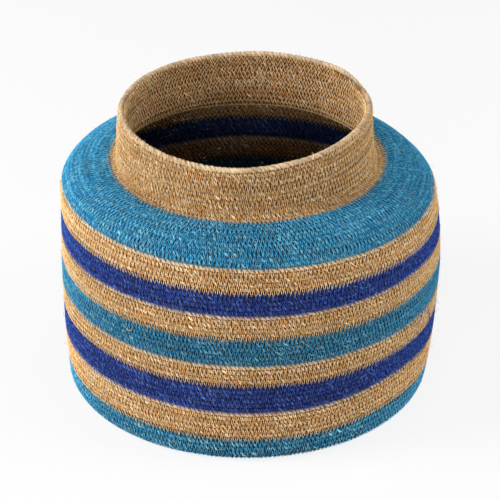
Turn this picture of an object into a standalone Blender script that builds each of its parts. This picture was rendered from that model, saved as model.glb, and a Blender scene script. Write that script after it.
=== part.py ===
"""Coiled seagrass basket: lengths of twisted rope wound turn on turn and sewn together.

The wall is a stack of coloured bands. Each band is one length of rope, with a needle
thread over its outer face and a bobbin thread over its inner face. Units are metres,
+Z is up, and the origin is at the centre of the foot, on the floor.
"""

import math

import bpy
from mathutils import Vector

# Driving dimensions
ROPE = 0.00485  # rope diameter: the height of one turn, and the wall's thickness
WALL_RADIUS = 0.177  # to the rope's centreline, at the wall's widest
WIDEST_HEIGHT = 0.115
WALL_BULGE = 0.55  # how fast the wall closes in above and below its widest, per metre
WALL_TOP = 0.196  # height where the shoulder starts to bend inwards
HEEL_RADIUS = 0.007  # bend between base and wall, to the centreline
FOOT_WIDTH = 2 * ROPE  # level ring inside the heel that the basket stands on
BASE_RISE = 0.004  # how much higher the base's middle is than the foot
SHOULDER_HEIGHT = 0.2226  # of the centreline, where the shoulder meets the neck
SHOULDER_CLIMB = 0.013  # length of the handle that keeps the shoulder's start upright
SHOULDER_LEVEL = 0.028  # length of the handle that keeps its end level
NECK_RADIUS = 0.1175  # to the centreline
NECK_FILLET = 0.010  # bend between shoulder and neck, to the centreline
THREAD = 0.0003  # thickness of the layer of thread on each face
RIM_FACETS = (45, 90, 135)  # degrees round the top of the last turn
GAP = 0.0003  # clearance between neighbouring pieces
MERGE = 0.00001  # points closer than this on a turned piece's axis become one
SEGMENTS = 32  # round the turned pieces
BEND = math.radians(17)  # how far the wall turns between two points of an outline

# Name, colour and number of turns of each length of rope, from the base's middle to the rim
BANDS = (
    ("base", "natural", 33),
    ("heel", "turquoise", 6.8),
    ("wall_1", "natural", 6),
    ("wall_2", "navy", 6.4),
    ("wall_3", "natural", 4.1),
    ("wall_4", "turquoise", 5.9),
    ("wall_5", "natural", 4.6),
    ("wall_6", "navy", 4.9),
    ("wall_7", "natural", 4.6),
    ("shoulder", "turquoise", 10.5),
    ("neck", "natural", 12.3),
)

# Linear base colour and roughness of each finish
ROPE_FINISH = {
    "natural": ((0.45, 0.29, 0.14, 1.0), 0.85),
    "turquoise": ((0.03, 0.22, 0.36, 1.0), 0.8),
    "navy": ((0.02, 0.035, 0.18, 1.0), 0.8),
}
THREAD_FINISH = {
    "natural": ((0.55, 0.38, 0.21, 1.0), 0.6),
    "turquoise": ((0.05, 0.28, 0.42, 1.0), 0.55),
    "navy": ((0.03, 0.05, 0.24, 1.0), 0.55),
}

# How far from the rope's centreline each layer's two faces lie, counted outwards
ROPE_LAYER = (-ROPE / 2, ROPE / 2)
NEEDLE_LAYER = (ROPE / 2 + GAP, ROPE / 2 + GAP + THREAD)
BOBBIN_LAYER = (-ROPE / 2 - GAP - THREAD, -ROPE / 2 - GAP)

# The foot stands on bare rope, so the thread under it leaves out the ring that is lowest
CENTRE_HOLE = ROPE / 2
BASE_THREAD_END = 0.125
HEEL_THREAD_START = 0.1673


def clear_scene():
    for obj in list(bpy.data.objects):
        bpy.data.objects.remove(obj)


def wall_radius(height):
    """Radius of the wall's centreline: widest at one height, closing in above and below."""
    return WALL_RADIUS - WALL_BULGE * (height - WIDEST_HEIGHT) ** 2


def arc(centre, radius, start, end, steps):
    """Points on a circle about centre, with angles in degrees from the outward direction."""
    angles = [math.radians(start + (end - start) * i / steps) for i in range(steps + 1)]
    return [(centre[0] + radius * math.cos(a), centre[1] + radius * math.sin(a)) for a in angles]


def bezier(start, pull, push, end, steps):
    """Points on a cubic curve, without its start."""
    points = []
    for i in range(1, steps + 1):
        t = i / steps
        weights = ((1 - t) ** 3, 3 * t * (1 - t) ** 2, 3 * t**2 * (1 - t), t**3)
        corners = (start, pull, push, end)
        points.append(tuple(sum(w * c[k] for w, c in zip(weights, corners)) for k in (0, 1)))
    return points


def centreline():
    """The rope's centreline, from the base's middle to above the rim.

    It is a list of stretches, each a list of points by radius and height that carries on
    from the stretch before.
    """
    heel_top = ROPE / 2 + HEEL_RADIUS
    heel_centre = (wall_radius(heel_top) - HEEL_RADIUS, heel_top)
    base = [(0.0, ROPE / 2 + BASE_RISE), (heel_centre[0] - FOOT_WIDTH, ROPE / 2)]
    foot = [(heel_centre[0], ROPE / 2)]
    heel = arc(heel_centre, HEEL_RADIUS, -90, 0, 18)[1:]
    heights = [heel_top + (WALL_TOP - heel_top) * i / 20 for i in range(1, 21)]
    wall = [(wall_radius(height), height) for height in heights]
    climb = (wall[-1][0], WALL_TOP + SHOULDER_CLIMB)
    neck_foot = (NECK_RADIUS + NECK_FILLET, SHOULDER_HEIGHT)
    level = (neck_foot[0] + SHOULDER_LEVEL, SHOULDER_HEIGHT)
    shoulder = bezier(wall[-1], climb, level, neck_foot, 24)
    fillet_centre = (neck_foot[0], SHOULDER_HEIGHT + NECK_FILLET)
    fillet = arc(fillet_centre, NECK_FILLET, 270, 180, 18)[1:]
    above_rim = (NECK_RADIUS, fillet_centre[1] + (BANDS[-1][2] + 2) * ROPE)
    return [base, foot, heel, wall, shoulder, fillet, [above_rim]]


class Path:
    """The centreline by its arc length, which the turns of rope divide evenly."""

    def __init__(self, stretches):
        self.points = [Vector(point) for stretch in stretches for point in stretch]
        self.lengths = [0.0]
        directions = []
        for before, after in zip(self.points, self.points[1:]):
            self.lengths.append(self.lengths[-1] + (after - before).length)
            directions.append((after - before).normalized())
        paired = zip([directions[0]] + directions, directions + [directions[-1]])
        self.directions = [(a + b).normalized() for a, b in paired]
        counts = [len(stretch) for stretch in stretches]
        self.stretch_ends = [sum(counts[: i + 1]) - 1 for i in range(len(counts))]

    def place(self, length):
        """The point at this arc length, and the direction out of the basket there."""
        i = 1
        while self.lengths[i] < length and i < len(self.points) - 1:
            i += 1
        share = (length - self.lengths[i - 1]) / (self.lengths[i] - self.lengths[i - 1])
        along = self.directions[i - 1].lerp(self.directions[i], share).normalized()
        return self.points[i - 1].lerp(self.points[i], share), Vector((along.y, -along.x))

    def corners(self):
        """Arc lengths where a stretch ends, or the path has turned by BEND since the last."""
        chosen = []
        last = self.place(0.0)[1]
        for i, length in enumerate(self.lengths):
            outwards = self.place(length)[1]
            if i in self.stretch_ends or last.angle(outwards) > BEND:
                chosen.append(length)
                last = outwards
        return chosen


def finish(name, colour, roughness):
    material = bpy.data.materials.new(name)
    material.use_nodes = True
    shader = material.node_tree.nodes["Principled BSDF"]
    shader.inputs["Base Color"].default_value = colour
    shader.inputs["Roughness"].default_value = roughness
    shader.inputs["Metallic"].default_value = 0.0
    material.diffuse_color = colour
    return material


def turned(name, outline, closed, material, collection):
    """A piece turned about Z, from an outline that runs down its outer side."""
    mesh = bpy.data.meshes.new(name)
    count = len(outline)
    edges = [(i, i + 1) for i in range(count - 1)]
    if closed:
        edges.append((count - 1, 0))
    mesh.from_pydata([(radius, 0.0, height) for radius, height in outline], edges, [])
    mesh.materials.append(material)
    obj = bpy.data.objects.new(name, mesh)
    collection.objects.link(obj)
    spin = obj.modifiers.new("Turn", "SCREW")
    spin.angle = math.tau
    spin.steps = SEGMENTS
    spin.render_steps = SEGMENTS
    spin.use_merge_vertices = True
    spin.merge_threshold = MERGE
    spin.use_smooth_shade = True


def faces(path, start, end, layer):
    """A layer's outer and inner faces, each as points from start to end."""
    outer, inner = [], []
    between = [length for length in path.corners() if start + GAP < length < end - GAP]
    for length in [start] + between + [end]:
        point, outwards = path.place(length)
        outer.append(tuple(point + outwards * layer[1]))
        inner.append(tuple(point + outwards * layer[0]))
    return outer, inner


def round_top(path, end):
    """The rounded top of the last turn, from its outer side to its inner one."""
    point, outwards = path.place(end)
    up = Vector((-outwards.y, outwards.x))
    angles = [math.radians(angle) for angle in RIM_FACETS]
    sides = [outwards * math.cos(a) + up * math.sin(a) for a in angles]
    return [tuple(point + side * ROPE / 2) for side in sides]


def ring(name, path, start, end, layer, material, collection, top=()):
    outer, inner = faces(path, start, end, layer)
    turned(name, inner + list(top)[::-1] + outer[::-1], True, material, collection)


def disc(name, path, end, layer, material, collection):
    """The base's rope, whose outline starts and ends on the axis."""
    outer, inner = faces(path, 0.0, end, layer)
    outer[0] = (0.0, outer[0][1])
    inner[0] = (0.0, inner[0][1])
    turned(name, inner + outer[::-1], False, material, collection)


def build():
    clear_scene()
    basket = bpy.data.collections.new("coiled_seagrass_basket")
    bpy.context.scene.collection.children.link(basket)
    path = Path(centreline())
    ropes = {c: finish(f"{c}_seagrass_rope", *look) for c, look in ROPE_FINISH.items()}
    threads = {c: finish(f"{c}_thread", *look) for c, look in THREAD_FINISH.items()}
    turns_below = 0
    for part, colour, turns in BANDS:
        rope_name = f"rope_{part}_{colour}"
        start = turns_below * ROPE + GAP / 2
        turns_below += turns
        end = turns_below * ROPE - GAP / 2
        needle = (start, end)
        bobbin = (start, end)
        if part == "base":
            disc(rope_name, path, end, ROPE_LAYER, ropes[colour], basket)
            needle = (CENTRE_HOLE, BASE_THREAD_END)
            bobbin = (CENTRE_HOLE, end)
        elif part == "neck":
            end -= ROPE / 2
            needle = bobbin = (start, end)
            top = round_top(path, end)
            ring(rope_name, path, start, end, ROPE_LAYER, ropes[colour], basket, top)
        else:
            ring(rope_name, path, start, end, ROPE_LAYER, ropes[colour], basket)
        if part == "heel":
            needle = (HEEL_THREAD_START, end)
        ring(f"needle_thread_{part}_{colour}", path, *needle, NEEDLE_LAYER, threads[colour], basket)
        ring(f"bobbin_thread_{part}_{colour}", path, *bobbin, BOBBIN_LAYER, threads[colour], basket)


build()
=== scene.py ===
import math

import bpy
import numpy as np
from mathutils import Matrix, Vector


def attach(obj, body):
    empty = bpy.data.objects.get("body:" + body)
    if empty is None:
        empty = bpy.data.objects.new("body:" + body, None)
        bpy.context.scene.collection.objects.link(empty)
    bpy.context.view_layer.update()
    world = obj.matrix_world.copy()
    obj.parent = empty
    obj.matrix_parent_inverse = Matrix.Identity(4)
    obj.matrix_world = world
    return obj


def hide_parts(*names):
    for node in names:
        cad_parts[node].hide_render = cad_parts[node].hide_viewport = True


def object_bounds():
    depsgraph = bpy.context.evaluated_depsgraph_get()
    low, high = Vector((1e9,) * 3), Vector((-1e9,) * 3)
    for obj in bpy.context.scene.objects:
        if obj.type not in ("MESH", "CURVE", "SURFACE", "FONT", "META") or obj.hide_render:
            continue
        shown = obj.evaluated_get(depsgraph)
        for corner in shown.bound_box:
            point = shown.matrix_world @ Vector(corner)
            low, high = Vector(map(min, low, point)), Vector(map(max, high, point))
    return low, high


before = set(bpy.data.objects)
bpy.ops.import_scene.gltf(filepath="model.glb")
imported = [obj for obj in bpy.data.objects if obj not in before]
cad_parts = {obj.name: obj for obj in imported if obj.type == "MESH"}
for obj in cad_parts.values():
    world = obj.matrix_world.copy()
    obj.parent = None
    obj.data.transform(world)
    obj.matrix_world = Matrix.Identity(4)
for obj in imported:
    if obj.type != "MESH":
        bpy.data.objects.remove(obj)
bpy.context.view_layer.update()
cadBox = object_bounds()

# The coil: one spiral of rope from the middle of the base to the rim. Metres and turns.
# A wave is given by its number round the basket, its phase, its twist per metre and its size.

basket = {
    "rowHeight": 0.00485,
    "wallRadius": 0.177,
    "widestHeight": 0.115,
    "wallBulge": 0.55,
    "wallTop": 0.196,
    "heelRadius": 0.007,
    "footWidth": 0.0097,
    "baseRise": 0.004,
    "shoulderHeight": 0.2226,
    "shoulderClimb": 0.013,
    "shoulderLevel": 0.028,
    "neckRadius": 0.1175,
    "neckFillet": 0.010,
    "startAngle": math.radians(40),  # where the dyed lengths meet, behind the right side
    "levelling": 0.8,  # share of each turn's climb that is taken at the back, so the front is level
    "tiltHeights": (0.0, 0.15, 0.186, 0.21, 0.235, 0.28),
    "tilt": (0.0, 0.0, -0.018, -0.019, -0.006, 0.0),  # rise to the right, per metre, at each
    "leanHeights": (0.0, 0.03, 0.06, 0.12, 0.18, 0.21, 0.235, 0.28),
    "lean": (-0.0004, 0.001, 0.0014, 0.0025, 0.002, 0.0, -0.0018, 0.0006),  # to the right, at each
    "swellAngle": math.radians(-40),  # where the lowest bands ride up over a fuller heel
    "swellWidth": math.radians(15),
    "swellRise": 0.005,
    "neckDents": (  # direction, half width, and how far the rim moves in and down there
        (math.radians(-27), math.radians(31), 0.008, -0.002),
        (math.radians(-100), math.radians(30), -0.001, 0.003),
    ),
    "dentTop": 0.275,  # height where a dent reaches its full size
    "looseFrom": 0.16,  # how far up the wall the coil starts to stray from true
    "looseTo": 0.24,
    "rowWave": 0.0003,  # how far a row strays along the wall
    "rowWaves": ((2, 1.3, 20, 1.0), (5, 0.0, 55, 0.6), (11, 0.0, 140, 0.4)),
    "wallWave": 0.0005,  # how far the wall strays in and out
    "wallWaves": ((3, 0.7, 25, 1.0), (8, 0.0, 70, 0.4)),
}

# name of the length, its colour, rows on the frame's ring, laps that the rope takes, and how
# much the whole length's colour is scaled, lighter or darker
dyedLengths = (
    ("base", "natural", 33, 33.0, 1.0),
    ("heel", "turquoise", 6.8, 6.06, 0.95),
    ("wall_1", "natural", 6, 5.96, 1.0),
    ("wall_2", "navy", 6.4, 6.0, 1.0),
    ("wall_3", "natural", 4.1, 3.96, 0.97),
    ("wall_4", "turquoise", 5.9, 6.05, 0.7),
    ("wall_5", "natural", 4.6, 5.0, 0.96),
    ("wall_6", "navy", 4.9, 4.98, 1.0),
    ("wall_7", "natural", 4.6, 5.03, 1.0),
    ("shoulder", "turquoise", 10.5, 10.97, 0.95),
    ("neck", "natural", 12.3, 12.05, 0.88),
)

rope = {
    "plumpness": 1.2,  # radius over half the spacing of the rows, so that neighbours press together
    "lay": 0.0088,  # one full turn of the two strands
    "uneven": 6.0,  # radians that the twist runs ahead or behind
    "waist": 0.3,  # how much the section narrows between the strands
    "step": 0.00125,
    "baseStep": 0.002,
    "wander": 0.0005,
    "sides": 6,
    "swaysPerMetre": 70.0,  # how often the wander changes
    "hurriesPerMetre": 110.0,  # how often the twist runs ahead or behind
    "blend": 0.1,  # turns over which one row's look gives way to the next one's
    "topBlend": 0.02,  # the same where two dyed lengths meet
    "centreStart": 0.12,  # turns from the axis where the coil begins
    "tail": 0.07,  # turns over which the rope's end tapers into the rim
    "tailThinning": 0.6,
    "tailSink": 0.55,  # rows
}

seam = {
    "threadRadius": 0.00023,
    "bobbinRadius": 0.00024,
    "leg": 0.0019,  # along the seam from one needle hole to the next
    "hiddenLeg": 0.0024,  # the same under the base and inside
    "reach": 0.0047,  # from the seam to a needle hole, across the rows
    "bobbinReach": 0.0026,
    "rimReach": 0.0031,  # the last seam stops on the crest of the rim
    "paintedNeckLight": 1.3,  # how much lighter the thread inside the neck is drawn: painted light for the inside of the neck
    "dyedStart": 0.6,  # how much less a dyed thread's first seam reaches down
    "lift": 0.0033,  # from the rope's centreline to the thread on its crest
    "bury": 0.001,  # how far a needle hole draws the thread into the rope
    "hiddenBury": 0.0003,
    "crest": 0.35,  # share of the reach that the thread crosses before it dips
    "wander": 0.6,
    "jittersPerMetre": 420.0,
    "pointsPerLeg": 2.0,
    "sides": 3.0,
    "lineStep": 0.003,
}


def profilePoints():
    b = basket
    rowRadius = b["rowHeight"] / 2
    wallRadiusAt = lambda h: b["wallRadius"] - b["wallBulge"] * (h - b["widestHeight"]) ** 2
    heelTop = rowRadius + b["heelRadius"]
    heelMiddle = wallRadiusAt(heelTop) - b["heelRadius"]
    baseRadius = heelMiddle - b["footWidth"]
    along = np.linspace(0, 1, 40)
    points = [(baseRadius * t, rowRadius + b["baseRise"] * (1 - t * t)) for t in along]
    points += [
        (heelMiddle + b["heelRadius"] * math.sin(a), heelTop - b["heelRadius"] * math.cos(a))
        for a in np.linspace(0, math.pi / 2, 24)
    ]
    points += [(wallRadiusAt(h), h) for h in np.linspace(heelTop, b["wallTop"], 60)[1:]]
    start = np.array(points[-1])
    end = np.array([b["neckRadius"] + b["neckFillet"], b["shoulderHeight"]])
    climb = start + (0, b["shoulderClimb"])
    level = end + (b["shoulderLevel"], 0)
    for t in np.linspace(0, 1, 50)[1:]:
        p = (1 - t) ** 3 * start + 3 * t * (1 - t) ** 2 * climb
        points.append(tuple(p + 3 * t * t * (1 - t) * level + t**3 * end))
    points += [
        (end[0] - b["neckFillet"] * math.sin(a), end[1] + b["neckFillet"] * (1 - math.cos(a)))
        for a in np.linspace(0, math.pi / 2, 24)[1:]
    ]
    points.append((b["neckRadius"], end[1] + b["neckFillet"] + 15 * b["rowHeight"]))
    return np.array(points)


profile = profilePoints()
profileSteps = np.diff(profile, axis=0)
profileLengths = np.concatenate([[0], np.cumsum(np.hypot(*profileSteps.T))])
profileSlopes = np.gradient(profile, profileLengths, axis=0)

lapMarks = np.concatenate([[0], np.cumsum([length[3] for length in dyedLengths])])
rowMarks = np.concatenate([[0], np.cumsum([length[2] for length in dyedLengths])])
climbMarks = rowMarks * basket["rowHeight"]


def climbAt(laps):
    back = basket["startAngle"] / math.tau - 0.25
    laps = laps + basket["levelling"] / math.tau * np.sin(math.tau * (laps - back))
    below = basket["rowHeight"] * np.minimum(laps, 0)
    beyond = basket["rowHeight"] * np.maximum(laps - lapMarks[-1], 0)
    return np.interp(laps, lapMarks, climbMarks) + below + beyond


def smoothRise(value, start, end):
    t = np.clip((value - start) / (end - start), 0, 1)
    return t * t * (3 - 2 * t)


def waves(angle, climb, terms):
    total = 0
    for count, phase, twist, size in terms:
        total = total + size * np.sin(count * angle + phase + twist * climb)
    return total


def nearness(angle, direction, width):
    # 1 in one direction from the basket's axis, fading to 0 on both sides of it
    past = (angle - direction + math.pi) % math.tau - math.pi
    return np.exp(-0.5 * (past / width) ** 2)


def wallAt(laps, climb):
    # places on the wall's middle surface, with the directions out of it and up it
    angle = basket["startAngle"] - 2 * math.pi * laps
    loose = smoothRise(climb, basket["looseFrom"], basket["looseTo"])
    stray = waves(angle, climb, basket["rowWaves"])
    swell = nearness(angle, basket["swellAngle"], basket["swellWidth"])
    swell = swell * np.interp(climb, climbMarks[1:5], (0, 1, 1, 0))
    climb = climb + loose * basket["rowWave"] * stray + basket["swellRise"] * swell
    bulge = waves(angle, climb, basket["wallWaves"])
    radius = np.interp(climb, profileLengths, profile[:, 0])
    height = np.interp(climb, profileLengths, profile[:, 1])
    slopeOut = np.interp(climb, profileLengths, profileSlopes[:, 0])
    slopeUp = np.interp(climb, profileLengths, profileSlopes[:, 1])
    size = np.hypot(slopeOut, slopeUp)
    slopeOut, slopeUp = slopeOut / size, slopeUp / size
    cos, sin = np.cos(angle), np.sin(angle)
    outwards = np.stack([slopeUp * cos, slopeUp * sin, -slopeOut], axis=1)
    upwards = np.stack([slopeOut * cos, slopeOut * sin, slopeUp], axis=1)
    place = np.stack([radius * cos, radius * sin, height], axis=1)
    place += outwards * (loose * basket["wallWave"] * bulge)[:, None]
    place[:, 2] += np.interp(height, basket["tiltHeights"], basket["tilt"]) * place[:, 0]
    place[:, 0] += np.interp(height, basket["leanHeights"], basket["lean"])
    for direction, width, inwards, downwards in basket["neckDents"]:
        share = nearness(angle, direction, width)
        share = share * smoothRise(height, basket["shoulderHeight"], basket["dentTop"])
        dent = inwards * np.stack([cos, sin, 0 * cos], axis=1) + (0, 0, downwards)
        place -= share[:, None] * dent
    return place, outwards, upwards


def lapsAlong(start, end, step):
    # turns at even steps along the rope from one lap to another
    laps = np.linspace(start, end, int((end - start) * 200) + 2)
    radius = np.interp(climbAt(laps), profileLengths, profile[:, 0])
    length = np.concatenate([[0], np.cumsum(np.diff(laps) * math.pi * (radius[1:] + radius[:-1]))])
    count = max(int(length[-1] / step), 2)
    return np.interp(np.linspace(0, length[-1], count), length, laps)


# Finishes

def linear(hexColour):
    channels = [int(hexColour[i:i + 2], 16) / 255 for i in (1, 3, 5)]
    return [c / 12.92 if c <= 0.04045 else ((c + 0.055) / 1.055) ** 2.4 for c in channels] + [1.0]


def addNode(tree, kind, inputs=None, **settings):
    node = tree.nodes.new(kind)
    for name, value in settings.items():
        setattr(node, name, value)
    for key, value in (inputs or {}).items():
        if isinstance(value, bpy.types.Node):
            value = value.outputs[0]
        if isinstance(value, bpy.types.NodeSocket):
            tree.links.new(value, node.inputs[key])
        else:
            node.inputs[key].default_value = value
    return node


def setStops(ramp, positions, shades):
    # the three dye shades of a finish, at these places on a ramp
    elements = ramp.color_ramp.elements
    while len(elements) < len(positions):
        elements.new(0.5)
    for element, position, name in zip(elements, positions, ("shade", "body", "light")):
        element.position = position
        element.color = linear(shades[name])


# Seagrass: a dried sedge, twisted into two strands. It is fibrous and matte with a straw
# gleam on single blades, and its colour changes from blade to blade along the strand. These colours
# are set darker than the rope's own, partly as painted shade where the rope shows between stitches.
# In each set, the crease colour is painted shade for the grooves between the strands and between
# the rows
ropeFinishes = {
    # the top colour paints the last lap of each length: a painted highlight on natural, painted
    # shade in the gaps under the thread's teeth on the dyed lengths
    "natural": {"shade": "#3c2008", "body": "#865929", "light": "#cd9958", "fleck": "#fff0d0",
                "top": "#dcc6a2", "paintedGrooveShade": "#241206", "tint": "#a5612c"},
    "turquoise": {"shade": "#021725", "body": "#07344a", "light": "#1c6b8d", "fleck": "#b0d8cf",
                  "top": "#042a3e", "paintedGrooveShade": "#021420", "tint": "#157896"},
    "navy": {"shade": "#03071c", "body": "#08123a", "light": "#12266a", "fleck": "#6a80bc",
             "top": "#04071a", "paintedGrooveShade": "#01030c", "tint": "#181f78"},
}

grain = {
    "bladeWidth": 0.0007,
    "bladeLength": 0.014,
    "streakStops": (0.25, 0.5, 0.72),
    "fleckScale": 0.6,  # against the blades
    "fleckFrom": 0.58,
    "fleckTo": 0.66,
    "blotchesPerMetre": 95.0,
    "blotchFrom": 0.52,
    "blotchTo": 0.68,
    "blotchShare": 0.6,
    "mottlesPerMetre": 160.0,
    "creaseFrom": 0.5,  # from the strand's crown, against the section's radius
    "creaseTo": 0.66,
    "cleftShade": 0.85,  # how dark the painted shade in the groove between the strands is
    "cleftShadeOnRim": 0.4,
    "valleyFrom": 0.45,  # from the row's crest, against the section's radius
    "valleyTo": 0.8,
    "hollowShade": 0.75,  # how dark the painted shade in the valley between the rows is
    "patchesPerMetre": 45.0,
    "patchFrom": 0.3,
    "patchTo": 0.7,
    "patchDarkest": 0.8,
    "patchLightest": 1.18,
    "bumpStrength": 0.5,
    "bumpHeight": 0.0006,
    "roughness": 0.78,
    "specular": 0.25,
    "ior": 1.5,
}


def seagrassFinish(colour):
    shades = ropeFinishes[colour]
    material = bpy.data.materials.new(f"{colour}_twisted_seagrass")
    material.use_nodes = True
    tree = material.node_tree
    shader = tree.nodes["Principled BSDF"]
    along = addNode(tree, "ShaderNodeAttribute", attribute_name="along").outputs["Fac"]
    around = addNode(tree, "ShaderNodeAttribute", attribute_name="around").outputs["Vector"]
    parts = addNode(tree, "ShaderNodeSeparateXYZ", {0: around})
    bladesAround = basket["rowHeight"] / 2 / grain["bladeWidth"]
    lengthwise = addNode(tree, "ShaderNodeMath", {
        0: along, 1: 1 / grain["bladeLength"]}, operation="MULTIPLY")
    crosswise = addNode(tree, "ShaderNodeMath", {
        0: parts.outputs[0], 1: bladesAround}, operation="MULTIPLY")
    depthwise = addNode(tree, "ShaderNodeMath", {
        0: parts.outputs[1], 1: bladesAround}, operation="MULTIPLY")
    blades = addNode(tree, "ShaderNodeCombineXYZ", {
        0: lengthwise, 1: crosswise, 2: depthwise})
    streak = addNode(tree, "ShaderNodeTexNoise", {"Vector": blades, "Scale": 1.0, "Detail": 3.0})
    where = addNode(tree, "ShaderNodeTexCoord").outputs["Object"]
    patch = addNode(tree, "ShaderNodeTexNoise", {
        "Vector": where, "Scale": grain["patchesPerMetre"], "Detail": 2.0})
    streaked = addNode(tree, "ShaderNodeValToRGB", {"Fac": streak.outputs["Fac"]})
    setStops(streaked, grain["streakStops"], shades)
    fleck = addNode(tree, "ShaderNodeTexNoise", {
        "Vector": blades, "Scale": grain["fleckScale"], "Detail": 2.0})
    fleckMask = addNode(tree, "ShaderNodeMapRange", {
        "Value": fleck.outputs["Fac"],
        "From Min": grain["fleckFrom"],
        "From Max": grain["fleckTo"],
    })
    blotch = addNode(tree, "ShaderNodeTexNoise", {
        "Vector": where, "Scale": grain["blotchesPerMetre"], "Detail": 2.0})
    blotchMask = addNode(tree, "ShaderNodeMapRange", {
        "Value": blotch.outputs["Fac"],
        "From Min": grain["blotchFrom"],
        "From Max": grain["blotchTo"],
        "To Max": grain["blotchShare"],
    })
    tinted = addNode(tree, "ShaderNodeMix", {
        0: blotchMask, 6: streaked, 7: linear(shades["tint"])}, data_type="RGBA")
    flecked = addNode(tree, "ShaderNodeMix", {
        0: fleckMask, 6: tinted.outputs[2], 7: linear(shades["fleck"])}, data_type="RGBA")
    # the last lap of each length: a painted highlight on the natural crests, painted shade on the
    # dyed ones
    top = addNode(tree, "ShaderNodeAttribute", attribute_name="top").outputs["Fac"]
    topMottle = addNode(tree, "ShaderNodeTexNoise", {
        "Vector": where, "Scale": grain["mottlesPerMetre"], "Detail": 1.0})
    paintedTopShare = addNode(tree, "ShaderNodeMath", {
        0: top, 1: topMottle.outputs["Fac"]}, operation="MULTIPLY")
    paintedTop = addNode(tree, "ShaderNodeMix", {
        0: paintedTopShare, 6: flecked.outputs[2], 7: linear(shades["top"])}, data_type="RGBA")
    # painted shade in the groove between the two strands
    inwards = addNode(tree, "ShaderNodeMath", {0: parts.outputs[1]}, operation="ABSOLUTE")
    cleftShade = addNode(tree, "ShaderNodeAttribute", attribute_name="cleftShade").outputs["Fac"]
    paintedGrooveShade = addNode(tree, "ShaderNodeMapRange", {
        "Value": inwards,
        "From Min": grain["creaseFrom"],
        "From Max": grain["creaseTo"],
        "To Max": cleftShade,
    })
    grooveShaded = addNode(tree, "ShaderNodeMix", {
        0: paintedGrooveShade, 6: paintedTop.outputs[2], 7: linear(shades["paintedGrooveShade"])}, data_type="RGBA")
    # painted shade in the valley between two rows: the section is turned back, to find which way is
    # up the wall
    turn = addNode(tree, "ShaderNodeAttribute", attribute_name="turn").outputs["Fac"]
    slope = addNode(tree, "ShaderNodeAttribute", attribute_name="slope").outputs["Vector"]
    unwound = addNode(tree, "ShaderNodeVectorRotate", {
        "Vector": around, "Angle": turn}, rotation_type="Z_AXIS")
    upTheWall = addNode(tree, "ShaderNodeVectorMath", {
        0: unwound, 1: slope}, operation="DOT_PRODUCT")
    fromCrest = addNode(tree, "ShaderNodeMath", {
        0: upTheWall.outputs["Value"]}, operation="ABSOLUTE")
    hollowShade = addNode(tree, "ShaderNodeAttribute", attribute_name="hollowShade").outputs["Fac"]
    valleyShade = addNode(tree, "ShaderNodeMapRange", {
        "Value": fromCrest,
        "From Min": grain["valleyFrom"],
        "From Max": grain["valleyTo"],
        "To Max": hollowShade,
    })
    valleyShaded = addNode(tree, "ShaderNodeMix", {
        0: valleyShade, 6: grooveShaded.outputs[2], 7: linear(shades["paintedGrooveShade"])}, data_type="RGBA")
    patchTone = addNode(tree, "ShaderNodeMapRange", {
        "Value": patch.outputs["Fac"],
        "From Min": grain["patchFrom"],
        "From Max": grain["patchTo"],
        "To Min": grain["patchDarkest"],
        "To Max": grain["patchLightest"],
    })
    tone = addNode(tree, "ShaderNodeAttribute", attribute_name="tone").outputs["Fac"]
    bothTones = addNode(tree, "ShaderNodeMath", {0: patchTone, 1: tone}, operation="MULTIPLY")
    toned = addNode(tree, "ShaderNodeVectorMath", {
        0: valleyShaded.outputs[2], 3: bothTones}, operation="SCALE")
    tree.links.new(toned.outputs[0], shader.inputs["Base Color"])
    bump = addNode(tree, "ShaderNodeBump", {
        "Height": streak.outputs["Fac"],
        "Strength": grain["bumpStrength"],
        "Distance": grain["bumpHeight"],
    })
    tree.links.new(bump.outputs[0], shader.inputs["Normal"])
    shader.inputs["Roughness"].default_value = grain["roughness"]
    shader.inputs["Specular IOR Level"].default_value = grain["specular"]
    shader.inputs["IOR"].default_value = grain["ior"]
    return material


# Cotton-covered polyester thread: soft sheen, dyed even, a little darker where it is rubbed
# These colours are set paler than the thread's own, partly as a painted highlight on the stitches
threadFinishes = {
    "natural": {"shade": "#c48e4c", "body": "#ffcd86", "light": "#fff6d6", "sheen": 0.0},
    "turquoise": {"shade": "#0872a4", "body": "#22b0e8", "light": "#8ce0f6", "sheen": 0.1},
    "navy": {"shade": "#09226e", "body": "#153c9e", "light": "#5484dc", "sheen": 0.02},
}

spin = {
    "fuzzPerMetre": 350.0,
    "fuzzStops": (0.3, 0.5, 0.7),
    "roughness": 0.6,
    "specular": 0.25,
}


def threadFinish(colour):
    shades = threadFinishes[colour]
    material = bpy.data.materials.new(f"{colour}_spun_thread")
    material.use_nodes = True
    tree = material.node_tree
    shader = tree.nodes["Principled BSDF"]
    where = addNode(tree, "ShaderNodeTexCoord").outputs["Object"]
    fuzz = addNode(tree, "ShaderNodeTexNoise", {
        "Vector": where, "Scale": spin["fuzzPerMetre"], "Detail": 2.0})
    colours = addNode(tree, "ShaderNodeValToRGB", {"Fac": fuzz.outputs["Fac"]})
    setStops(colours, spin["fuzzStops"], shades)
    tone = addNode(tree, "ShaderNodeAttribute", attribute_name="tone").outputs["Fac"]
    toned = addNode(tree, "ShaderNodeVectorMath", {0: colours, 3: tone}, operation="SCALE")
    tree.links.new(toned.outputs[0], shader.inputs["Base Color"])
    shader.inputs["Roughness"].default_value = spin["roughness"]
    shader.inputs["Specular IOR Level"].default_value = spin["specular"]
    shader.inputs["Sheen Weight"].default_value = shades["sheen"]
    return material


ropeMaterials = {colour: seagrassFinish(colour) for colour in ropeFinishes}
threadMaterials = {colour: threadFinish(colour) for colour in threadFinishes}


# Geometry Nodes

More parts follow.
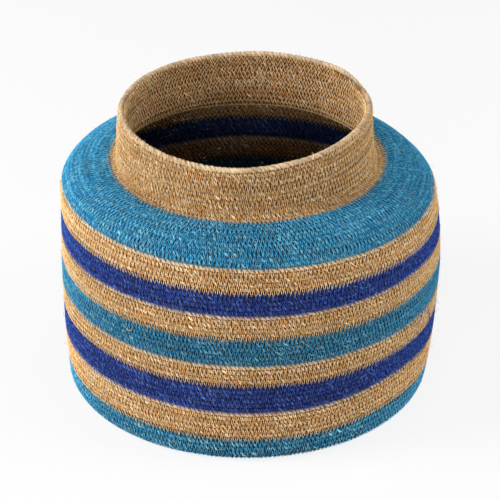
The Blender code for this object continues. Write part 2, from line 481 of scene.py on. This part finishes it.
def newTree(name, sizes):
    # a tree with a geometry input and output and one named number for each size
    tree = bpy.data.node_groups.new(name, "GeometryNodeTree")
    tree.interface.new_socket("Geometry", in_out="INPUT", socket_type="NodeSocketGeometry")
    for size in sizes:
        tree.interface.new_socket(size, in_out="INPUT", socket_type="NodeSocketFloat")
    tree.interface.new_socket("Material", in_out="INPUT", socket_type="NodeSocketMaterial")
    tree.interface.new_socket("Geometry", in_out="OUTPUT", socket_type="NodeSocketGeometry")
    return tree, tree.nodes.new("NodeGroupInput").outputs


def closeTree(tree, geometry, material):
    realized = addNode(tree, "GeometryNodeRealizeInstances", {0: geometry})
    finished = addNode(tree, "GeometryNodeSetMaterial", {0: realized, "Material": material})
    addNode(tree, "NodeGroupOutput", {0: finished})


def twistedRopeTree():
    # two strands laid round each other: a section pinched at two sides turns along the line
    tree, given = newTree("twistedRope", ("Lay", "Uneven", "Waist", "Wander"))
    path = addNode(tree, "GeometryNodeMeshToCurve", {0: given["Geometry"]})
    where = addNode(tree, "GeometryNodeInputPosition").outputs[0]
    sway = addNode(tree, "ShaderNodeTexNoise", {
        "Vector": where, "Scale": rope["swaysPerMetre"], "Detail": 1.0})
    centred = addNode(tree, "ShaderNodeVectorMath", {
        0: sway.outputs["Color"], 1: (0.5, 0.5, 0.5)}, operation="SUBTRACT")
    offset = addNode(tree, "ShaderNodeVectorMath", {
        0: centred, 3: given["Wander"]}, operation="SCALE")
    swayed = addNode(tree, "GeometryNodeSetPosition", {0: path, "Offset": offset})
    upright = addNode(tree, "GeometryNodeSetCurveNormal", {0: swayed}, mode="Z_UP")
    length = addNode(tree, "GeometryNodeSplineParameter").outputs["Length"]
    laid = addNode(tree, "ShaderNodeMath", {0: length, 1: given["Lay"]}, operation="DIVIDE")
    even = addNode(tree, "ShaderNodeMath", {0: laid, 1: math.tau}, operation="MULTIPLY")
    hurry = addNode(tree, "ShaderNodeTexNoise", {
        "Vector": where, "Scale": rope["hurriesPerMetre"], "Detail": 1.0})
    turned = addNode(tree, "ShaderNodeMath", {
        0: hurry.outputs["Fac"], 1: given["Uneven"], 2: even}, operation="MULTIPLY_ADD")
    tilted = addNode(tree, "GeometryNodeSetCurveTilt", {0: upright, "Tilt": turned})
    measured = addNode(tree, "GeometryNodeStoreNamedAttribute", {
        0: tilted, "Name": "along", "Value": length}, data_type="FLOAT", domain="POINT")
    marked = addNode(tree, "GeometryNodeStoreNamedAttribute", {
        0: measured, "Name": "turn", "Value": turned}, data_type="FLOAT", domain="POINT")
    circle = addNode(tree, "GeometryNodeCurvePrimitiveCircle", {
        "Resolution": rope["sides"], "Radius": 1.0})
    ring = addNode(tree, "GeometryNodeTransform", {
        0: circle, "Rotation": (0, 0, math.pi / rope["sides"])})
    side = addNode(tree, "ShaderNodeSeparateXYZ", {0: where})
    squared = addNode(tree, "ShaderNodeMath", {
        0: side.outputs[1], 1: side.outputs[1]}, operation="MULTIPLY")
    narrowed = addNode(tree, "ShaderNodeMath", {
        0: squared, 1: given["Waist"]}, operation="MULTIPLY")
    kept = addNode(tree, "ShaderNodeMath", {0: 1.0, 1: narrowed}, operation="SUBTRACT")
    shaped = addNode(tree, "ShaderNodeVectorMath", {0: where, 3: kept}, operation="SCALE")
    section = addNode(tree, "GeometryNodeSetPosition", {0: ring, "Position": shaped})
    sectionMarked = addNode(tree, "GeometryNodeStoreNamedAttribute", {
        0: section, "Name": "around"}, data_type="FLOAT_VECTOR", domain="POINT")
    tree.links.new(where, sectionMarked.inputs["Value"])
    girth = addNode(tree, "GeometryNodeInputNamedAttribute", {"Name": "girth"}, data_type="FLOAT")
    body = addNode(tree, "GeometryNodeCurveToMesh", {
        0: marked, 1: sectionMarked, "Scale": girth, "Fill Caps": True})
    smooth = addNode(tree, "GeometryNodeSetShadeSmooth", {0: body})
    closeTree(tree, smooth, given["Material"])
    return tree


def zigzagTree():
    # one lockstitch thread: it crosses the seam from needle hole to needle hole
    tree, given = newTree("zigzagSeam", (
        "Leg", "Points per leg", "Reach", "Lift", "Bury", "Thread radius", "Wander", "Sides"))
    path = addNode(tree, "GeometryNodeMeshToCurve", {0: given["Geometry"]})
    spacing = addNode(tree, "ShaderNodeMath", {
        0: given["Leg"], 1: given["Points per leg"]}, operation="DIVIDE")
    even = addNode(tree, "GeometryNodeResampleCurve", {0: path, "Length": spacing}, mode="LENGTH")
    index = addNode(tree, "GeometryNodeInputIndex").outputs[0]
    legs = addNode(tree, "ShaderNodeMath", {
        0: index, 1: given["Points per leg"]}, operation="DIVIDE")
    swing = addNode(tree, "ShaderNodeMath", {0: legs, 1: 1.0}, operation="PINGPONG")
    side = addNode(tree, "ShaderNodeMath", {0: swing, 1: 2.0, 2: -1.0}, operation="MULTIPLY_ADD")
    away = addNode(tree, "ShaderNodeMath", {0: side}, operation="ABSOLUTE")
    pastCrest = addNode(tree, "ShaderNodeMapRange", {
        "Value": away, "From Min": seam["crest"], "From Max": 1.0, "To Max": given["Bury"]})
    height = addNode(tree, "ShaderNodeMath", {0: given["Lift"], 1: pastCrest}, operation="SUBTRACT")
    where = addNode(tree, "GeometryNodeInputPosition").outputs[0]
    jitter = addNode(tree, "ShaderNodeTexNoise", {
        "Vector": where, "Scale": seam["jittersPerMetre"], "Detail": 0.0})
    centred = addNode(tree, "ShaderNodeVectorMath", {
        0: jitter.outputs["Color"], 1: (0.5, 0.5, 0.5)}, operation="SUBTRACT")
    shares = addNode(tree, "ShaderNodeSeparateXYZ", {0: centred})
    stretch = addNode(tree, "ShaderNodeMath", {
        0: shares.outputs[0], 1: given["Wander"], 2: 1.0}, operation="MULTIPLY_ADD")
    reach = addNode(tree, "ShaderNodeMath", {0: given["Reach"], 1: stretch}, operation="MULTIPLY")
    reachUp = addNode(tree, "GeometryNodeInputNamedAttribute", {
        "Name": "reachUp"}, data_type="FLOAT")
    upper = addNode(tree, "ShaderNodeMath", {0: side, 1: 0.0}, operation="MAXIMUM")
    upperHeld = addNode(tree, "ShaderNodeMath", {0: upper, 1: reachUp}, operation="MULTIPLY")
    lower = addNode(tree, "ShaderNodeMath", {0: side, 1: 0.0}, operation="MINIMUM")
    reachDown = addNode(tree, "GeometryNodeInputNamedAttribute", {
        "Name": "reachDown"}, data_type="FLOAT")
    sided = addNode(tree, "ShaderNodeMath", {
        0: lower, 1: reachDown, 2: upperHeld}, operation="MULTIPLY_ADD")
    across = addNode(tree, "ShaderNodeMath", {0: reach, 1: sided}, operation="MULTIPLY")
    upwards = addNode(tree, "GeometryNodeInputNamedAttribute", {
        "Name": "upwards"}, data_type="FLOAT_VECTOR")
    outwards = addNode(tree, "GeometryNodeInputNamedAttribute", {
        "Name": "outwards"}, data_type="FLOAT_VECTOR")
    tangent = addNode(tree, "GeometryNodeInputTangent").outputs[0]
    slip = addNode(tree, "ShaderNodeMath", {
        0: shares.outputs[1], 1: given["Leg"]}, operation="MULTIPLY")
    slipped = addNode(tree, "ShaderNodeMath", {0: slip, 1: given["Wander"]}, operation="MULTIPLY")
    up = addNode(tree, "ShaderNodeVectorMath", {0: upwards, 3: across}, operation="SCALE")
    out = addNode(tree, "ShaderNodeVectorMath", {0: outwards, 3: height}, operation="SCALE")
    on = addNode(tree, "ShaderNodeVectorMath", {0: tangent, 3: slipped}, operation="SCALE")
    moved = addNode(tree, "ShaderNodeVectorMath", {0: up, 1: out}, operation="ADD")
    movedOn = addNode(tree, "ShaderNodeVectorMath", {0: moved, 1: on}, operation="ADD")
    zigzag = addNode(tree, "GeometryNodeSetPosition", {0: even, "Offset": movedOn})
    section = addNode(tree, "GeometryNodeCurvePrimitiveCircle", {
        "Resolution": given["Sides"], "Radius": given["Thread radius"]})
    thread = addNode(tree, "GeometryNodeCurveToMesh", {
        0: zigzag, 1: section, "Fill Caps": True})
    smooth = addNode(tree, "GeometryNodeSetShadeSmooth", {0: thread})
    closeTree(tree, smooth, given["Material"])
    return tree


def grow(name, points, fields, tree, values):
    # runs a tree on an open line of points and keeps the result as a plain mesh
    mesh = bpy.data.meshes.new(name + "_line")
    count = len(points)
    mesh.vertices.add(count)
    mesh.vertices.foreach_set("co", np.asarray(points, dtype=np.float32).ravel())
    mesh.edges.add(count - 1)
    pairs = np.stack([np.arange(count - 1), np.arange(1, count)], axis=1)
    mesh.edges.foreach_set("vertices", pairs.ravel())
    for field, numbers in fields.items():
        numbers = np.asarray(numbers, dtype=np.float32)
        if numbers.ndim == 2:
            store = mesh.attributes.new(field, "FLOAT_VECTOR", "POINT")
            store.data.foreach_set("vector", numbers.ravel())
        else:
            store = mesh.attributes.new(field, "FLOAT", "POINT")
            store.data.foreach_set("value", numbers)
    line = bpy.data.objects.new(name + "_line", mesh)
    bpy.context.scene.collection.objects.link(line)
    modifier = line.modifiers.new("grow", "NODES")
    modifier.node_group = tree
    for item in tree.interface.items_tree:
        if item.in_out == "INPUT" and item.name in values:
            modifier[item.identifier] = values[item.name]
    graph = bpy.context.evaluated_depsgraph_get()
    result = bpy.data.meshes.new_from_object(line.evaluated_get(graph))
    result.name = name
    bpy.data.objects.remove(line)
    bpy.data.meshes.remove(mesh)
    piece = bpy.data.objects.new(name, result)
    bpy.context.scene.collection.objects.link(piece)
    return piece


ropeTree = twistedRopeTree()
seamTree = zigzagTree()


def settle(piece, node):
    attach(piece, "root")
    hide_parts(node)


def onLastLap(laps):
    # 1 on the rim, the lap that nothing is sewn onto, and 0 below it
    return smoothRise(laps, lapMarks[-1] - 1 - rope["blend"], lapMarks[-1] - 1)


def layRope(name, colour, start, end, tone):
    step = rope["baseStep" if name == "base" else "step"]
    laps = lapsAlong(max(start, rope["centreStart"]), end, step)
    taper = smoothRise(laps, lapMarks[-1] - rope["tail"], lapMarks[-1])
    climb = climbAt(laps)
    spacing = climbAt(laps + 0.5) - climbAt(laps - 0.5)
    girth = spacing / 2 * rope["plumpness"] * (1 - rope["tailThinning"] * taper)
    place, outwards, upwards = wallAt(laps, climb - rope["tailSink"] * spacing * taper)
    rim = onLastLap(laps)
    fields = {
        "girth": girth,
        # the last lap: a painted highlight on natural lengths, painted shade on dyed ones
        "top": smoothRise(laps, end - 1 - rope["topBlend"], end - 1 + rope["topBlend"]),
        "tone": tone + 0 * laps,
        # painted shade in the grooves between the strands and between the rows, less of it on the
        # rim
        "cleftShade": grain["cleftShade"] + (grain["cleftShadeOnRim"] - grain["cleftShade"]) * rim,
        "hollowShade": grain["hollowShade"] * (1 - rim),
        "slope": np.stack([-outwards[:, 2], upwards[:, 2], 0 * laps], axis=1),
    }
    piece = grow(f"{name}_{colour}_rope", place, fields, ropeTree, {
        "Lay": rope["lay"],
        "Uneven": rope["uneven"],
        "Waist": rope["waist"],
        "Wander": rope["wander"],
        "Material": ropeMaterials[colour],
    })
    settle(piece, f"rope_{name}_{colour}")


def sewSeam(name, colour, start, end, tone, side):
    if name == "neck":
        end -= rope["tail"]
    laps = lapsAlong(max(start, 1 + rope["centreStart"]), end, seam["lineStep"])
    place, outwards, upwards = wallAt(laps, (climbAt(laps) + climbAt(laps - 1)) / 2)
    plain = name == "base" or side < 0
    reach = seam["reach" if side > 0 else "bobbinReach"]
    rim = onLastLap(laps)
    kind = "needle_thread" if side > 0 else "bobbin_thread"
    firstRow = 1 - smoothRise(laps, start + 1 - rope["blend"], start + 1)
    drawnUp = 0 if colour == "natural" else seam["dyedStart"]
    fields = {
        "outwards": outwards * side,
        "upwards": upwards,
        "reachUp": 1 + (min(seam["rimReach"] / reach, 1) - 1) * rim,
        "reachDown": 1 - drawnUp * firstRow,
        # the bobbin thread inside the neck is drawn lighter, as painted light
        "tone": tone * (seam["paintedNeckLight"] if name == "neck" and side < 0 else 1) + 0 * laps,
    }
    piece = grow(f"{name}_{colour}_{kind}", place, fields, seamTree, {
        "Leg": seam["hiddenLeg" if plain and name != "neck" else "leg"],
        "Points per leg": seam["pointsPerLeg"],
        "Reach": reach,
        "Lift": seam["lift"],
        "Bury": seam["hiddenBury" if plain else "bury"],
        "Thread radius": seam["threadRadius" if side > 0 else "bobbinRadius"],
        "Wander": seam["wander"],
        "Sides": seam["sides"],
        "Material": threadMaterials[colour],
    })
    settle(piece, f"{kind}_{name}_{colour}")


for (name, colour, _, _, tone), start, end in zip(dyedLengths, lapMarks, lapMarks[1:]):
    layRope(name, colour, start, end, tone)
    sewSeam(name, colour, start, end, tone, 1)
    sewSeam(name, colour, start, end, tone, -1)
    print("laid and sewn", name, colour)


# Stray fibres: short ends of blade and thread that stand off the rope all over

fibres = {
    "spacing": 0.0024,  # along the coil, before the draw
    "rimSpacing": 0.0015,  # the rim is rubbed, so it is hairier
    "share": 0.11,
    "length": 0.006,
    "radius": 0.00011,
    "seed": 5,
    "clearRows": 4,  # rows of the heel that are worn clean by what the basket stands on
    "rimLaps": 1.2,
    "spread": 0.9,  # radians off the way out of the wall, up and down
    "shortest": 0.4,  # against the length
    "longest": 1.3,
    "bend": ((0, 0, 0), (0.45, 0.0, 0.3), (0.9, 0.25, 0.16)),  # along the wall, aside, out of it
    "sides": 3,
    "pointsAlong": 4,
    "swingSeed": 11,
    "lengthSeed": 23,
}


def strayFibreTree():
    # a share of the points each grow one bent fibre, swung to a random side
    tree, given = newTree("strayFibres", ("Share", "Length", "Radius", "Seed"))
    points = addNode(tree, "GeometryNodeMeshToPoints", {0: given["Geometry"]})
    root, middle, tip = fibres["bend"]
    strand = addNode(tree, "GeometryNodeCurveQuadraticBezier", {
        "Resolution": fibres["pointsAlong"], "Start": root, "Middle": middle, "End": tip})
    chosen = addNode(tree, "FunctionNodeRandomValue", {"Seed": given["Seed"]}, data_type="FLOAT")
    kept = addNode(tree, "FunctionNodeCompare", {
        0: chosen.outputs[1], 1: given["Share"]}, operation="LESS_THAN")
    outwards = addNode(tree, "GeometryNodeInputNamedAttribute", {
        "Name": "outwards"}, data_type="FLOAT_VECTOR")
    upright = addNode(tree, "FunctionNodeAlignRotationToVector", {"Vector": outwards}, axis="Z")
    swings = addNode(tree, "FunctionNodeRandomValue", {
        "Max": math.tau, "Seed": fibres["swingSeed"]}, data_type="FLOAT")
    swing = addNode(tree, "FunctionNodeAxisAngleToRotation", {
        "Axis": (0, 0, 1), "Angle": swings.outputs[1]})
    turned = addNode(tree, "FunctionNodeRotateRotation", {
        0: upright, 1: swing}, rotation_space="LOCAL")
    shares = addNode(tree, "FunctionNodeRandomValue", {
        "Min": fibres["shortest"],
        "Max": fibres["longest"],
        "Seed": fibres["lengthSeed"],
    }, data_type="FLOAT")
    size = addNode(tree, "ShaderNodeMath", {
        0: shares.outputs[1], 1: given["Length"]}, operation="MULTIPLY")
    placed = addNode(tree, "GeometryNodeInstanceOnPoints", {
        0: points, "Selection": kept, "Instance": strand,
        "Rotation": turned, "Scale": size})
    strands = addNode(tree, "GeometryNodeRealizeInstances", {0: placed})
    section = addNode(tree, "GeometryNodeCurvePrimitiveCircle", {
        "Resolution": fibres["sides"], "Radius": given["Radius"]})
    body = addNode(tree, "GeometryNodeCurveToMesh", {
        0: strands, 1: section, "Fill Caps": True})
    closeTree(tree, body, given["Material"])
    return tree


fibreTree = strayFibreTree()


def strayFibres(colour):
    lays = []
    for (name, dye, *_), start, end in zip(dyedLengths, lapMarks, lapMarks[1:]):
        if dye == colour and name != "base":
            clear = fibres["clearRows"] if name == "heel" else 0
            lays.append(lapsAlong(start + clear, end, fibres["spacing"]))
        if dye == colour and name == "neck":
            lays.append(lapsAlong(end - fibres["rimLaps"], end, fibres["rimSpacing"]))
    laps = np.concatenate(lays)
    draw = np.random.default_rng(fibres["seed"])
    place, outwards, upwards = wallAt(laps, climbAt(laps))
    around = draw.uniform(-fibres["spread"], fibres["spread"], len(laps))[:, None]
    out = outwards * np.cos(around) + upwards * np.sin(around)
    place = place + out * basket["rowHeight"] / 2 * rope["plumpness"]
    fields = {"outwards": out, "tone": 1 + 0 * laps}
    piece = grow(f"{colour}_stray_fibres", place, fields, fibreTree, {
        "Share": fibres["share"],
        "Length": fibres["length"],
        "Radius": fibres["radius"],
        "Seed": float(fibres["seed"]),
        "Material": threadMaterials[colour],
    })
    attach(piece, "root")


# Longer loose ends: where each starts, in degrees from +X and rows below the rim, its colour
# and length, and how it leans: along the row, up the wall, out of it
looseEnds = (
    (-60.5, 0.6, "natural", 0.011, (-0.15, 0.9, 0.2)),
    (-58.0, 1.2, "natural", 0.016, (0.3, -0.8, 0.25)),
    (-141.0, 0.3, "natural", 0.008, (0.2, 0.5, 0.6)),
    (-150.0, 0.2, "natural", 0.006, (-0.5, 0.6, 0.4)),
    (-25.0, 44.8, "navy", 0.020, (0.5, -0.8, 0.0)),
    (-28.0, 43.6, "navy", 0.016, (-0.6, -0.7, 0.0)),
    (-22.0, 46.0, "navy", 0.015, (-0.5, -0.8, 0.05)),
    (-8.0, 17.0, "turquoise", 0.006, (0.3, 0.5, 0.5)),
    (-172.0, 40.0, "natural", 0.008, (-0.4, 0.5, 0.6)),
    (-128.0, 41.0, "natural", 0.012, (0.7, 0.4, 0.3)),
    (-80.0, 61.0, "navy", 0.010, (0.6, 0.3, 0.25)),
)

loose = {
    "girth": 0.0005,
    "thinning": 0.7,  # towards the tip
    "lay": 0.006,
    "waist": 0.2,
    "wander": 0.002,
    "arch": 0.15,  # against the length, away from the wall
    "droop": 0.12,
    "points": 9,
}


def loosenEnds():
    for number, (degrees, rowsDown, colour, length, lean) in enumerate(looseEnds, 1):
        lap = lapMarks[-1] - rowsDown
        lap = math.floor(lap) + (basket["startAngle"] - math.radians(degrees)) / math.tau
        place, outwards, upwards = wallAt(np.array([lap]), climbAt(np.array([lap])))
        alongRow = np.cross(upwards, outwards)
        way = lean[0] * alongRow + lean[1] * upwards + lean[2] * outwards
        t = np.linspace(0, 1, loose["points"])[:, None]
        arch = outwards * loose["arch"] * length * np.sin(math.pi * t)
        droop = upwards * loose["droop"] * length * t * t
        root = place + outwards * rope["plumpness"] * basket["rowHeight"] / 2
        points = root + way * length * t + (arch - droop)
        girth = loose["girth"] * (1 - loose["thinning"] * t[:, 0])
        fields = {"girth": girth, "tone": 1 + 0 * girth}
        piece = grow(f"{colour}_loose_end_{number}", points, fields, ropeTree, {
            "Lay": loose["lay"],
            "Uneven": 0.0,
            "Waist": loose["waist"],
            "Wander": loose["wander"],
            "Material": threadMaterials[colour],
        })
        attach(piece, "root")


for colour in threadFinishes:
    strayFibres(colour)
loosenEnds()
print("fibres and loose ends left standing")


# Studio

studio = {
    "cameraDistance": 2.2,
    "cameraTilt": math.radians(29.4),
    "lens": 165.6,
    "aim": (0.002, 0.0, 0.125),
    "floor": "#585858",
    "floorGlow": 0.84,  # a floor lit from beneath, so that it stays even
    "floorSize": 12,
    "world": 0.07,
    "lights": (  # name, place, size and power
        ("key", (-2.2, -0.5, 1.9), 1.2, 92),
        ("front", (-0.4, -2.9, 0.75), 1.6, 75),
        ("right", (1.9, -0.3, 2.2), 1.2, 37),
        ("top", (0.3, 0.1, 2.8), 1.0, 20),
    ),
}


def buildStudio():
    aim = Vector(studio["aim"])
    tilt = studio["cameraTilt"]
    camera = bpy.data.objects.new("camera", bpy.data.cameras.new("camera"))
    camera.data.lens = studio["lens"]
    camera.data.sensor_width = 36
    camera.data.clip_end = 20
    camera.location = aim + studio["cameraDistance"] * Vector((0, -math.cos(tilt), math.sin(tilt)))
    camera.rotation_euler = (math.pi / 2 - tilt, 0, 0)
    bpy.context.scene.collection.objects.link(camera)
    bpy.context.scene.camera = camera

    bpy.ops.mesh.primitive_plane_add(size=studio["floorSize"], location=(0, 0, cadBox[0][2]))
    floor = bpy.context.object
    floor.name = "floor"
    paint = bpy.data.materials.new("matt_white_paper")
    paint.use_nodes = True
    shader = paint.node_tree.nodes["Principled BSDF"]
    shader.inputs["Base Color"].default_value = linear(studio["floor"])
    shader.inputs["Roughness"].default_value = 0.9
    shader.inputs["Specular IOR Level"].default_value = 0.0
    shader.inputs["Emission Color"].default_value = (1, 1, 1, 1)
    shader.inputs["Emission Strength"].default_value = studio["floorGlow"]
    floor.data.materials.append(paint)

    world = bpy.data.worlds.new("studio")
    bpy.context.scene.world = world
    world.use_nodes = True
    background = world.node_tree.nodes["Background"]
    background.inputs["Color"].default_value = (1, 1, 1, 1)
    background.inputs["Strength"].default_value = studio["world"]
    for name, place, size, power in studio["lights"]:
        light = bpy.data.objects.new(name, bpy.data.lights.new(name, "AREA"))
        light.data.shape = "SQUARE"
        light.data.size = size
        light.data.energy = power
        light.location = place
        light.rotation_euler = (aim - Vector(place)).to_track_quat("-Z", "Y").to_euler()
        bpy.context.scene.collection.objects.link(light)
    bpy.context.scene.view_settings.view_transform = "Standard"


buildStudio()
print("studio ready")

bpy.context.view_layer.update()
